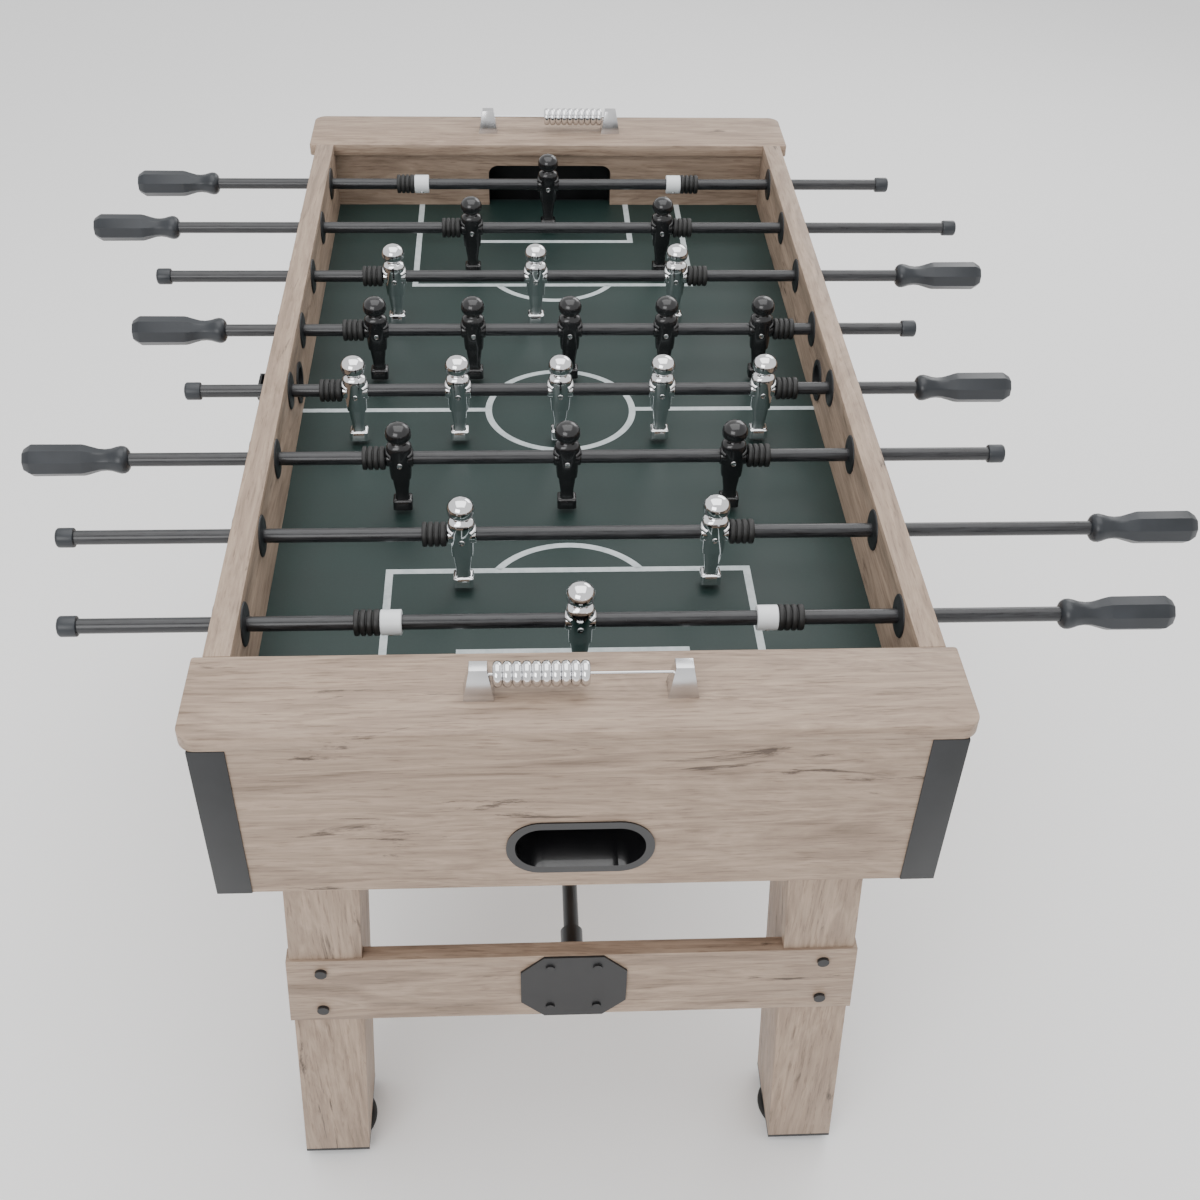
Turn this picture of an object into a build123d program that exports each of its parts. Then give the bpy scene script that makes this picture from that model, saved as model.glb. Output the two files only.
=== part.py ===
from build123d import *
import os

# Foosball table. Millimetres, +Z up, rods along X, the goals face each other along Y.
# The table is drawn about the middle of its playfield. It is written with its origin on the floor
# under the middle of its full width, which counts the rods as they stand out at each side.

# ---- cabinet ----
TABLE_HEIGHT = 875.0        # floor to the top of the end caps
TABLE_LENGTH = 1440.0       # over the end caps
FIELD_WIDTH = 682.0         # between the side panels
FIELD_DROP = 105.0          # end cap top down to the playfield
CABINET_DEPTH = 223.0       # end cap top down to the cabinet's bottom edge
SIDE_THICK = 27.0
END_THICK = 20.0
CAP_THICK = 18.0
CAP_DEPTH = 114.0
CAP_OVERHANG = 11.0
CAP_OUTER_RADIUS = 18.0
CAP_INNER_RADIUS = 4.0
GUARD_THICK = 2.0
GUARD_WIDTH = 34.0
WALL_THICK = 16.0           # inner end wall that holds the goal
WALL_SETBACK = 12.0         # goal wall behind the cap's inner edge
FIELD_THICK = 9.0
BASE_THICK = 12.0

# ---- goals and ball ways ----
GOAL_WIDTH = 197.0
GOAL_HEIGHT = 66.0
GOAL_CORNER = 15.0
LINER_WALL = 4.0
CUP_WIDTH = 150.0
CUP_HEIGHT = 74.0
CUP_DROP = 163.0            # end cap top down to the middle of the ball return cup
CUP_RIM = 6.0
CUP_WALL = 3.0
CUP_CORNER = 30.0
DROP_HOLE_WIDTH = 76.0
ENTRY_DROP = 62.0
ENTRY_BORE = 40.0
ENTRY_WALL = 3.0
ENTRY_REACH = 26.0
ENTRY_FLANGE = 4.0

# ---- rods ----
ROD_COUNT = 8
END_ROD_GAP = 93.0          # goal wall to the keeper's rod
ROD_DIA = 15.9
ROD_DROP = 28.0             # end cap top down to the rod axis
RUN_CLEAR = 0.08            # radial clearance of everything that turns or slides on a rod
BEARING_SLEEVE = 27.0
BEARING_FLANGE = 47.0
FLANGE_THICK = 3.0
BUMPER_DIA = 28.0
BUMPER_LENGTH = 27.0
BUMPER_GROOVE = 2.0
BUMPER_RINGS = 4
SIDE_GAP = 0.4              # air between a bumper and the hub or collar beside it
COLLAR_DIA = 27.0
COLLAR_LENGTH = 22.0
HANDLE_LENGTH = 121.0
HANDLE_DIA = 38.0
HANDLE_WAIST = 26.0
HANDLE_COLLAR = 33.0
HANDLE_END = 27.0
HANDLE_GRIP_DEPTH = 105.0
TIP_REACH = 61.0            # bearing to the tip's end with the rod pulled out
STOP_GAP = 1.0              # air left between bumper and bearing at the end of a slide
TIP_DIA = 22.0
TIP_LENGTH = 20.0
TIP_WALL = 3.0

# ---- players ----
FOOT_REACH = 70.0           # rod axis down to the sole
FOOT_HEIGHT = 17.0
FOOT_WIDTH = 23.0
FOOT_DEPTH = 20.0
HEAD_DIA = 28.0
HEAD_RISE = 37.0
HUB_DIA = 25.0
HUB_WIDTH = 33.0
TORSO_WIDTH = 28.0
TORSO_DEPTH = 18.0

# players on the rod, free slide each way, bearing to handle with the rod pushed in
GOALIE = (1, 103.0, 33.0)
TWO_MEN = (2, 152.0, 46.0)
THREE_MEN = (3, 95.0, 47.0)
FIVE_MEN = (5, 36.0, 47.0)
LINE_UP = [GOALIE, TWO_MEN, THREE_MEN, FIVE_MEN, FIVE_MEN, THREE_MEN, TWO_MEN, GOALIE]
HANDLE_SIDE = [1, 1, -1, 1, -1, 1, -1, -1]
REST_SLIDE = [5.0, 20.0, 1.0, -3.0, 14.0, -29.0, 20.0, -5.0]

# ---- scorers ----
STAND_SPACING = 196.0
STAND_BASE = (30.0, 26.0)
STAND_TOP = (17.0, 14.0)
STAND_HEIGHT = 34.0
WIRE_RISE = 23.0
WIRE_DIA = 3.0
BEAD_COUNT = 10
BEAD_DIA = 26.0
BEAD_WIDTH = 9.2
BEAD_GAP = 0.1

# ---- stand ----
LEG_WIDTH = 84.0
LEG_DEPTH = 116.0
LEG_INSET = 49.5            # cabinet side to the leg's outer edge, at the top
LEG_SPLAY = 36.0            # how far the foot stands outside the top
LEG_SETBACK = 82.0          # end of the table to the leg's outer face
LEG_LIFT = 16.0             # floor to the leg's lower end
STRETCHER_RISE = 316.0
STRETCHER_HEIGHT = 115.0
STRETCHER_THICK = 20.0
STRETCHER_PROUD = 3.0
STRETCHER_OVER = 4.0        # stretcher end past the leg's outer edge
PLATE_SIZE = (126.0, 113.0)
PLATE_CHAMFER = 28.0
PLATE_THICK = 3.0
TUBE_DIA = 19.0
SOCKET_DIA = 27.0
SOCKET_LENGTH = 60.0
BOLT_DIA = 8.0
BOLT_HEAD = 14.0
BOLT_HEAD_THICK = 4.0
BOLT_LENGTH = 60.0
BOLT_INSET = 36.0           # leg's outer edge to the bolts
BOLT_SPREAD = 71.0
SCREW_DIA = 5.0
SCREW_HEAD = 11.0
SCREW_HEAD_THICK = 2.5
SCREW_LENGTH = 16.0
SCREW_SPREAD = (56.0, 76.0)
FOOT_PLATE_THICK = 5.0
PAD_DIA = 96.0
PAD_THICK = 8.0
STEM_DIA = 10.0
STEM_LENGTH = 40.0

# ---- worked out ----
CABINET_BOTTOM = TABLE_HEIGHT - CABINET_DEPTH
UNDER_CAP = TABLE_HEIGHT - CAP_THICK
FIELD_Z = TABLE_HEIGHT - FIELD_DROP
ROD_Z = TABLE_HEIGHT - ROD_DROP
CUP_Z = TABLE_HEIGHT - CUP_DROP
INNER_X = FIELD_WIDTH / 2
OUTER_X = INNER_X + SIDE_THICK
HALF_LENGTH = TABLE_LENGTH / 2
END_FACE = HALF_LENGTH - GUARD_THICK
END_INSIDE = END_FACE - END_THICK
CAP_EDGE = HALF_LENGTH - CAP_DEPTH
WALL_Y = CAP_EDGE + WALL_SETBACK
WALL_BACK = WALL_Y + WALL_THICK
ROD_SPACING = 2 * (WALL_Y - END_ROD_GAP) / (ROD_COUNT - 1)
LEG_TOP_INNER = OUTER_X - LEG_INSET - LEG_WIDTH
LEG_FACE = HALF_LENGTH - LEG_SETBACK
LEG_LENGTH = CABINET_BOTTOM - LEG_LIFT
STRETCHER_FACE = LEG_FACE + STRETCHER_PROUD
STRETCHER_BACK = STRETCHER_FACE - STRETCHER_THICK
PLATE_Z = STRETCHER_RISE + STRETCHER_HEIGHT / 2
FOOT_X = LEG_TOP_INNER + LEG_SPLAY + LEG_WIDTH / 2
FOOT_Y = LEG_FACE - LEG_DEPTH / 2
SCORER_Y = HALF_LENGTH - CAP_DEPTH / 2


def block(x0, x1, y0, y1, z0, z1):
    """A box between two corners, given in any order."""
    size = (abs(x1 - x0), abs(y1 - y0), abs(z1 - z0))
    return Pos((x0 + x1) / 2, (y0 + y1) / 2, (z0 + z1) / 2) * Box(*size)


def bar_x(x0, x1, y, z, dia):
    """A round bar along X."""
    return Pos((x0 + x1) / 2, y, z) * Rot(0, 90, 0) * Cylinder(dia / 2, abs(x1 - x0))


def bar_y(x, y0, y1, z, dia):
    """A round bar along Y."""
    return Pos(x, (y0 + y1) / 2, z) * Rot(90, 0, 0) * Cylinder(dia / 2, abs(y1 - y0))


def bar_z(x, y, z0, z1, dia):
    """A round bar along Z."""
    return Pos(x, y, (z0 + z1) / 2) * Cylinder(dia / 2, abs(z1 - z0))


def rod_reach(side):
    """How far the rods stand out at one side, measured from the middle of the playfield."""
    reaches = []
    for i in range(ROD_COUNT):
        end = handle_start(i) + HANDLE_LENGTH if HANDLE_SIDE[i] == side else tip_end(i)
        reaches.append(end + side * REST_SLIDE[i])
    return max(reaches)


def save(name, *shapes):
    """Writes the solids of one sub-part to its own file, about the middle of the full width."""
    shift = (rod_reach(-1) - rod_reach(1)) / 2
    solids = [Pos(shift, 0, 0) * solid for shape in shapes for solid in shape.solids()]
    export_step(solids[0] if len(solids) == 1 else Compound(solids), f"parts/{name}.step")


def rod_y(index):
    return (index - (ROD_COUNT - 1) / 2) * ROD_SPACING


def rod_holes(dia):
    """Cutters for the rods' bearings through both side panels."""
    return [bar_x(-OUTER_X - 9, OUTER_X + 9, rod_y(i), ROD_Z, dia) for i in range(ROD_COUNT)]


# ---- cabinet ----
def side_panel(side):
    """One long panel, let in under the end caps and bored for the bearings and the ball entry."""
    panel = block(side * INNER_X, side * OUTER_X, -END_INSIDE, END_INSIDE, CABINET_BOTTOM, UNDER_CAP)
    panel += block(side * INNER_X, side * OUTER_X, -CAP_EDGE, CAP_EDGE, UNDER_CAP, TABLE_HEIGHT)
    for hole in rod_holes(BEARING_SLEEVE):
        panel -= hole
    entry_dia = ENTRY_BORE + 2 * ENTRY_WALL
    panel -= bar_x(side * (INNER_X - 9), side * (OUTER_X + 9), 0, TABLE_HEIGHT - ENTRY_DROP, entry_dia)
    return panel


def rounded_slot(width, height, corner, y0, y1, z):
    """A rounded rectangle in XZ, run along Y."""
    outline = Rot(90, 0, 0) * RectangleRounded(width, height, corner)
    return extrude(Pos(0, y1, z) * outline, amount=y1 - y0, dir=(0, -1, 0))


def end_panel():
    panel = block(-OUTER_X, OUTER_X, END_INSIDE, END_FACE, CABINET_BOTTOM, UNDER_CAP)
    inner = (CUP_WIDTH - 2 * CUP_RIM, CUP_HEIGHT - 2 * CUP_RIM)
    return panel - rounded_slot(*inner, CUP_CORNER, END_INSIDE - 5, END_FACE + 5, CUP_Z)


def end_cap():
    half = OUTER_X + CAP_OVERHANG
    cap = block(-half, half, CAP_EDGE, HALF_LENGTH, UNDER_CAP, TABLE_HEIGHT)
    uprights = cap.edges().filter_by(Axis.Z).sort_by(Axis.Y)
    cap = fillet(uprights[2:], CAP_OUTER_RADIUS)
    inner_edges = cap.edges().filter_by(Axis.Z).sort_by(Axis.Y)[:2]
    return fillet(inner_edges, CAP_INNER_RADIUS)


def goal_wall():
    """The inner end wall, standing on the playfield, with the goal mouth cut in its foot."""
    wall = block(-INNER_X, INNER_X, WALL_Y, WALL_BACK, FIELD_Z, UNDER_CAP)
    mouth_height = 2 * GOAL_HEIGHT
    return wall - rounded_slot(GOAL_WIDTH, mouth_height, GOAL_CORNER, WALL_Y - 5, WALL_BACK + 5, FIELD_Z)


def goal_liner():
    """A black box behind the goal that drops the ball into the return cup."""
    half = GOAL_WIDTH / 2 + LINER_WALL
    floor = CUP_Z + CUP_HEIGHT / 2 - CUP_RIM
    roof = FIELD_Z + GOAL_HEIGHT + LINER_WALL
    liner = block(-half, half, WALL_BACK, END_INSIDE, floor, roof)
    hollow = half - LINER_WALL
    ceiling = roof - LINER_WALL
    front = WALL_BACK + LINER_WALL
    liner -= block(-hollow, hollow, front, END_INSIDE - LINER_WALL, floor - 5, ceiling)
    return liner - block(-hollow, hollow, WALL_BACK - 5, front + 5, FIELD_Z, ceiling)


def return_cup():
    """The tray in the end panel where the balls come out, open to the liner above it."""
    outer = (CUP_WIDTH - 2 * CUP_RIM, CUP_HEIGHT - 2 * CUP_RIM)
    inner = (outer[0] - 2 * CUP_WALL, outer[1] - 2 * CUP_WALL)
    back = WALL_BACK
    cup = rounded_slot(*outer, CUP_CORNER, back, END_FACE, CUP_Z)
    cup += rounded_slot(CUP_WIDTH, CUP_HEIGHT, CUP_CORNER + CUP_RIM, END_FACE, HALF_LENGTH, CUP_Z)
    cup -= rounded_slot(*inner, CUP_CORNER - CUP_WALL, back + CUP_WALL, HALF_LENGTH + 5, CUP_Z)
    drop = DROP_HOLE_WIDTH / 2
    front = END_INSIDE - 2 * CUP_WALL
    return cup - block(-drop, drop, back + 2 * CUP_WALL, front, CUP_Z, CUP_Z + CUP_HEIGHT)


def corner_guard(side):
    """A thin angle round one upright corner of the cabinet."""
    inside, outside = side * (OUTER_X - GUARD_WIDTH), side * (OUTER_X + GUARD_THICK)
    guard = block(inside, outside, END_FACE, HALF_LENGTH, CABINET_BOTTOM, UNDER_CAP)
    flank = block(side * OUTER_X, outside, END_FACE - GUARD_WIDTH, END_FACE, CABINET_BOTTOM, UNDER_CAP)
    return guard + flank


def ball_entry(side):
    """A sleeve through the side panel with a half-open scoop outside it."""
    z = TABLE_HEIGHT - ENTRY_DROP
    outer = ENTRY_BORE + 2 * ENTRY_WALL
    reach = OUTER_X + ENTRY_REACH
    cup = bar_x(side * INNER_X, side * reach, 0, z, outer)
    cup += bar_x(side * (INNER_X - 2), side * INNER_X, 0, z, outer + 2 * ENTRY_FLANGE)
    cup += bar_x(side * OUTER_X, side * (OUTER_X + 2), 0, z, outer + 2 * ENTRY_FLANGE)
    cup -= bar_x(side * (INNER_X - 9), side * (reach - ENTRY_WALL), 0, z, ENTRY_BORE)
    return cup - block(side * (OUTER_X + 2), side * (reach + 9), -outer, outer, z, z + outer)


def bearing(side, index):
    """A flanged nylon bushing that a rod turns and slides in."""
    y = rod_y(index)
    bush = bar_x(side * (INNER_X - FLANGE_THICK), side * INNER_X, y, ROD_Z, BEARING_FLANGE)
    bush += bar_x(side * INNER_X, side * OUTER_X, y, ROD_Z, BEARING_SLEEVE)
    bush += bar_x(side * OUTER_X, side * (OUTER_X + FLANGE_THICK), y, ROD_Z, BEARING_FLANGE)
    return bush - bar_x(-OUTER_X - 9, OUTER_X + 9, y, ROD_Z, ROD_DIA + 2 * RUN_CLEAR)


# ---- stand ----
def leg_edge(z):
    """The leg's outer edge at a height."""
    return LEG_TOP_INNER + LEG_WIDTH + LEG_SPLAY * (CABINET_BOTTOM - z) / LEG_LENGTH


def run_y(points, y0, y1):
    """A polygon in XZ, run along Y from y0 to y1."""
    wire = Polyline(*[(x, y0, z) for x, z in points], close=True)
    return extrude(make_face(wire), amount=y1 - y0, dir=(0, 1, 0))


def stretcher():
    top = STRETCHER_RISE + STRETCHER_HEIGHT
    high = leg_edge(top) + STRETCHER_OVER
    low = leg_edge(STRETCHER_RISE) + STRETCHER_OVER
    points = [(-high, top), (high, top), (low, STRETCHER_RISE), (-low, STRETCHER_RISE)]
    board = run_y(points, STRETCHER_BACK, STRETCHER_FACE)
    for fastener in frame_bolts() + plate_screws():
        board -= fastener
    return board


def leg(side):
    """A splayed leg, notched for the stretcher and bored for its bolts and its foot."""
    points = []
    for z in (CABINET_BOTTOM, LEG_LIFT):
        points += [(side * (leg_edge(z) - LEG_WIDTH), z), (side * leg_edge(z), z)]
    body = run_y([points[0], points[1], points[3], points[2]], LEG_FACE - LEG_DEPTH, LEG_FACE)
    notch = (side * (LEG_TOP_INNER - 9), side * (leg_edge(0) + 9))
    body -= block(*notch, STRETCHER_BACK, LEG_FACE + 5, STRETCHER_RISE, STRETCHER_RISE + STRETCHER_HEIGHT)
    for bolt in frame_bolts():
        body -= bolt
    hole = STEM_DIA + 2 * RUN_CLEAR
    return body - bar_z(side * FOOT_X, FOOT_Y, 0, PAD_THICK + STEM_LENGTH + 5, hole)


def headed(x, z, face, dia, length, head, head_thick):
    """A round-headed fastener driven inwards along Y from a face."""
    return bar_y(x, face - length, face, z, dia) + bar_y(x, face, face + head_thick, z, head)


def frame_bolts():
    bolts = []
    for side in (-1, 1):
        for step in (-1, 1):
            z = PLATE_Z + step * BOLT_SPREAD / 2
            x = side * (leg_edge(z) - BOLT_INSET)
            bolts.append(headed(x, z, STRETCHER_FACE, BOLT_DIA, BOLT_LENGTH, BOLT_HEAD, BOLT_HEAD_THICK))
    return bolts


def plate_screws():
    face = STRETCHER_FACE + PLATE_THICK
    screws = []
    for x in (-SCREW_SPREAD[0] / 2, SCREW_SPREAD[0] / 2):
        for dz in (-SCREW_SPREAD[1] / 2, SCREW_SPREAD[1] / 2):
            screw = headed(x, PLATE_Z + dz, face, SCREW_DIA, SCREW_LENGTH, SCREW_HEAD, SCREW_HEAD_THICK)
            screws.append(screw)
    return screws


def tube_plate():
    """The eight-sided plate that ties the long tube to a stretcher."""
    half_x, half_z = PLATE_SIZE[0] / 2, PLATE_SIZE[1] / 2
    flat_x, flat_z = half_x - PLATE_CHAMFER, half_z - PLATE_CHAMFER
    points = [(-flat_x, half_z), (flat_x, half_z), (half_x, flat_z), (half_x, -flat_z)]
    points += [(flat_x, -half_z), (-flat_x, -half_z), (-half_x, -flat_z), (-half_x, flat_z)]
    outline = [(x, PLATE_Z + z) for x, z in points]
    plate = run_y(outline, STRETCHER_FACE, STRETCHER_FACE + PLATE_THICK)
    for screw in plate_screws():
        plate -= screw
    return plate


def tube_socket():
    socket = bar_y(0, STRETCHER_BACK - SOCKET_LENGTH, STRETCHER_BACK, PLATE_Z, SOCKET_DIA)
    return socket - bar_y(0, STRETCHER_BACK - SOCKET_LENGTH - 5, STRETCHER_BACK + 5, PLATE_Z, TUBE_DIA)


def foot_plate(side):
    half_x, half_y = LEG_WIDTH / 2, LEG_DEPTH / 2
    x = side * FOOT_X
    bottom = LEG_LIFT - FOOT_PLATE_THICK
    plate = block(x - half_x, x + half_x, FOOT_Y - half_y, FOOT_Y + half_y, bottom, LEG_LIFT)
    return plate - bar_z(x, FOOT_Y, 0, LEG_LIFT + 5, STEM_DIA + 2 * RUN_CLEAR)


def leveler(side):
    """A round pad on a threaded stem."""
    x = side * FOOT_X
    pad = bar_z(x, FOOT_Y, 0, PAD_THICK, PAD_DIA)
    pad = chamfer(pad.edges().group_by(Axis.Z)[-1], 2)
    return pad + bar_z(x, FOOT_Y, PAD_THICK, PAD_THICK + STEM_LENGTH, STEM_DIA)


# ---- scorers ----
def scorer_stand(side):
    """A small four-sided pyramid with a flat top that holds one end of the wire."""
    x = side * STAND_SPACING / 2
    base = Pos(x, SCORER_Y, TABLE_HEIGHT) * Rectangle(*STAND_BASE)
    top = Pos(x, SCORER_Y, TABLE_HEIGHT + STAND_HEIGHT) * Rectangle(*STAND_TOP)
    return loft([base, top]) - scorer_wire()


def scorer_wire():
    half = STAND_SPACING / 2 + 4
    return bar_x(-half, half, SCORER_Y, TABLE_HEIGHT + WIRE_RISE, WIRE_DIA)


def stand_half_width():
    """Half the stand's width at the lowest point of a bead."""
    fall = (STAND_BASE[0] - STAND_TOP[0]) / 2 * (WIRE_RISE - BEAD_DIA / 2) / STAND_HEIGHT
    return STAND_BASE[0] / 2 - fall


def beads(side):
    """A row of counting beads pushed up against one stand."""
    start = STAND_SPACING / 2 - stand_half_width() - 6 * BEAD_GAP
    bore = bar_x(-start - 9, start + 9, SCORER_Y, TABLE_HEIGHT + WIRE_RISE, WIRE_DIA + 2 * RUN_CLEAR)
    row = []
    for i in range(BEAD_COUNT):
        x0 = start - i * (BEAD_WIDTH + BEAD_GAP)
        bead = bar_x(side * x0, side * (x0 - BEAD_WIDTH), SCORER_Y, TABLE_HEIGHT + WIRE_RISE, BEAD_DIA)
        bead = chamfer(bead.edges(), 1.5)
        row.append(bead - bore)
    return row


# ---- rods ----
def bumper_far(index):
    """Middle of the rod to the outer face of its bumper."""
    return INNER_X - FLANGE_THICK - STOP_GAP - LINE_UP[index][1]


def bumper_near(index):
    return bumper_far(index) - BUMPER_LENGTH


def men_places(index):
    """Where the players stand along X: the outer two sit against the bumpers."""
    count = LINE_UP[index][0]
    if count == 1:
        return [REST_SLIDE[index]]
    outer = bumper_near(index) - SIDE_GAP - HUB_WIDTH / 2
    return [REST_SLIDE[index] - outer + 2 * outer * i / (count - 1) for i in range(count)]


def handle_start(index):
    return OUTER_X + FLANGE_THICK + LINE_UP[index][1] + LINE_UP[index][2]


def tip_end(index):
    return OUTER_X + FLANGE_THICK + LINE_UP[index][1] + TIP_REACH


def player(x, y):
    """One player moulded round the rod, standing with the ball foot straight down."""
    half = TORSO_WIDTH / 2
    back, chest = y - TORSO_DEPTH / 2, y + TORSO_DEPTH / 2
    figure = bar_x(x - HUB_WIDTH / 2, x + HUB_WIDTH / 2, y, ROD_Z, HUB_DIA)
    figure += block(x - half, x + half, back, chest, ROD_Z, ROD_Z + HEAD_RISE - HEAD_DIA * 0.45)
    figure += Pos(x, y, ROD_Z + HEAD_RISE) * Sphere(HEAD_DIA / 2)
    figure += bar_z(x, y, ROD_Z + HEAD_RISE - 10, ROD_Z + HEAD_RISE, HEAD_DIA * 0.6)
    ankle = ROD_Z - FOOT_REACH + FOOT_HEIGHT
    hips = Pos(x, y, ROD_Z) * Rectangle(TORSO_WIDTH - 3, TORSO_DEPTH)
    shins = Pos(x, y, ankle) * Rectangle(FOOT_WIDTH - 5, FOOT_DEPTH - 8)
    figure += loft([shins, hips])
    toe, heel = y - FOOT_DEPTH / 2, y + FOOT_DEPTH / 2
    figure += block(x - FOOT_WIDTH / 2, x + FOOT_WIDTH / 2, toe, heel, ankle - FOOT_HEIGHT, ankle)
    return figure - bar_x(x - 99, x + 99, y, ROD_Z, ROD_DIA)


def bumper(x0, x1, y):
    """A ribbed rubber buffer that meets the bearing before the player meets the wall."""
    body = bar_x(x0, x1, y, ROD_Z, BUMPER_DIA)
    pitch = (x1 - x0) / BUMPER_RINGS
    for i in range(1, BUMPER_RINGS):
        middle = x0 + i * pitch
        groove = bar_x(middle - pitch / 4, middle + pitch / 4, y, ROD_Z, BUMPER_DIA + 9)
        groove -= bar_x(middle - pitch / 2, middle + pitch / 2, y, ROD_Z, BUMPER_DIA - 2 * BUMPER_GROOVE)
        body -= groove
    return body - bar_x(x0 - 9, x1 + 9, y, ROD_Z, ROD_DIA + 2 * RUN_CLEAR)


def bumpers(index):
    near = bumper_near(index)
    far = bumper_far(index)
    middle = REST_SLIDE[index]
    y = rod_y(index)
    return [bumper(middle - far, middle - near, y), bumper(middle + near, middle + far, y)]


def stop_collars(index):
    """White collars screwed to the keeper's rod, inside its bumpers."""
    far = bumper_near(index) - SIDE_GAP
    middle = REST_SLIDE[index]
    y = rod_y(index)
    collars = []
    for side in (-1, 1):
        ring = bar_x(middle + side * far, middle + side * (far - COLLAR_LENGTH), y, ROD_Z, COLLAR_DIA)
        collars.append(ring - bar_x(-999, 999, y, ROD_Z, ROD_DIA))
    return collars


def rod_span(index):
    """The rod's two ends: inside the handle and inside the rubber tip."""
    side = HANDLE_SIDE[index]
    middle = REST_SLIDE[index]
    in_handle = middle + side * (handle_start(index) + HANDLE_GRIP_DEPTH)
    in_tip = middle - side * (tip_end(index) - TIP_WALL)
    return in_handle, in_tip


def handle(index):
    """An eight-sided waisted grip with a flared collar next to the table."""
    side = HANDLE_SIDE[index]
    start = REST_SLIDE[index] + side * handle_start(index)
    y = rod_y(index)
    stations = [(0, HANDLE_END), (4, HANDLE_COLLAR), (12, HANDLE_COLLAR), (29, HANDLE_WAIST)]
    stations += [(52, HANDLE_DIA), (HANDLE_LENGTH - 9, HANDLE_DIA), (HANDLE_LENGTH, HANDLE_END)]
    sections = []
    for reach, dia in stations:
        octagon = Rot(0, 90, 0) * Rot(0, 0, 22.5) * RegularPolygon(dia / 2, 8)
        sections.append(Pos(start + side * reach, y, ROD_Z) * octagon)
    grip = loft(sections, ruled=True)
    return grip - bar_x(start - side * 5, start + side * HANDLE_GRIP_DEPTH, y, ROD_Z, ROD_DIA)


def rod_tip(index):
    """A soft cap over the rod's free end."""
    side = -HANDLE_SIDE[index]
    end = REST_SLIDE[index] + side * tip_end(index)
    y = rod_y(index)
    tip = bar_x(end, end - side * TIP_LENGTH, y, ROD_Z, TIP_DIA)
    return tip - bar_x(end - side * TIP_WALL, end - side * (TIP_LENGTH + 9), y, ROD_Z, ROD_DIA)


def far_and_near(shape):
    """A piece and its twin at the other end of the table."""
    return [shape, Rot(0, 0, 180) * shape]


os.makedirs("parts", exist_ok=True)

save("side_panel_left", side_panel(-1))
save("side_panel_right", side_panel(1))
save("end_panels", *far_and_near(end_panel()))
save("end_caps", *far_and_near(end_cap()))
save("goal_walls", *far_and_near(goal_wall()))
save("goal_liners", *far_and_near(goal_liner()))
save("ball_return_cups", *far_and_near(return_cup()))
save("ball_entry_cups", ball_entry(-1), ball_entry(1))
save("corner_guards", *far_and_near(corner_guard(-1)), *far_and_near(corner_guard(1)))
save("playfield", block(-INNER_X, INNER_X, -WALL_BACK, WALL_BACK, FIELD_Z - FIELD_THICK, FIELD_Z))
base_top = CABINET_BOTTOM + BASE_THICK
save("base_panel", block(-INNER_X, INNER_X, -END_INSIDE, END_INSIDE, CABINET_BOTTOM, base_top))
save("rod_bearings", *[bearing(side, i) for side in (-1, 1) for i in range(ROD_COUNT)])

save("legs", *far_and_near(leg(-1)), *far_and_near(leg(1)))
save("stretchers", *far_and_near(stretcher()))
save("tube_mounts", *far_and_near(tube_plate()), *far_and_near(tube_socket()))
save("cross_tube", bar_y(0, -STRETCHER_BACK, STRETCHER_BACK, PLATE_Z, TUBE_DIA))
fasteners = frame_bolts() + plate_screws()
save("frame_fasteners", *fasteners, *[Rot(0, 0, 180) * item for item in fasteners])
save("foot_plates", *far_and_near(foot_plate(-1)), *far_and_near(foot_plate(1)))
save("leveler_far_left", leveler(-1))
save("leveler_far_right", leveler(1))
save("leveler_near_left", Rot(0, 0, 180) * leveler(1))
save("leveler_near_right", Rot(0, 0, 180) * leveler(-1))

stands = [scorer_stand(-1), scorer_stand(1)]
save("scorer_stands", *stands, *[Rot(0, 0, 180) * stand for stand in stands])
save("scorer_wires", *far_and_near(scorer_wire()))
save("scorer_beads_far", *beads(1))
save("scorer_beads_near", *[Rot(0, 0, 180) * bead for bead in beads(1)])

for i in range(ROD_COUNT):
    number = i + 1
    in_handle, in_tip = rod_span(i)
    save(f"rod_{number}", bar_x(in_handle, in_tip, rod_y(i), ROD_Z, ROD_DIA))
    save(f"men_{number}", *[player(x, rod_y(i)) for x in men_places(i)])
    save(f"bumpers_{number}", *bumpers(i))
    save(f"grips_{number}", handle(i), rod_tip(i))
    if LINE_UP[i][0] == 1:
        save(f"stop_collars_{number}", *stop_collars(i))
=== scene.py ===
# %% [markdown]
# # A foosball table, dressed over its frame
# The frame below is the table as it is built: boards, bearings, rods and feet at their real sizes.
# This lesson gives every piece its finished look. Some boards keep the frame's own shape and only
# need a finish. Others, such as the players and the grips, are modelled again with rounder forms.

# %% Load the frame and note its size
import math

import bmesh
import bpy
from mathutils import Matrix, Vector


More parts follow.
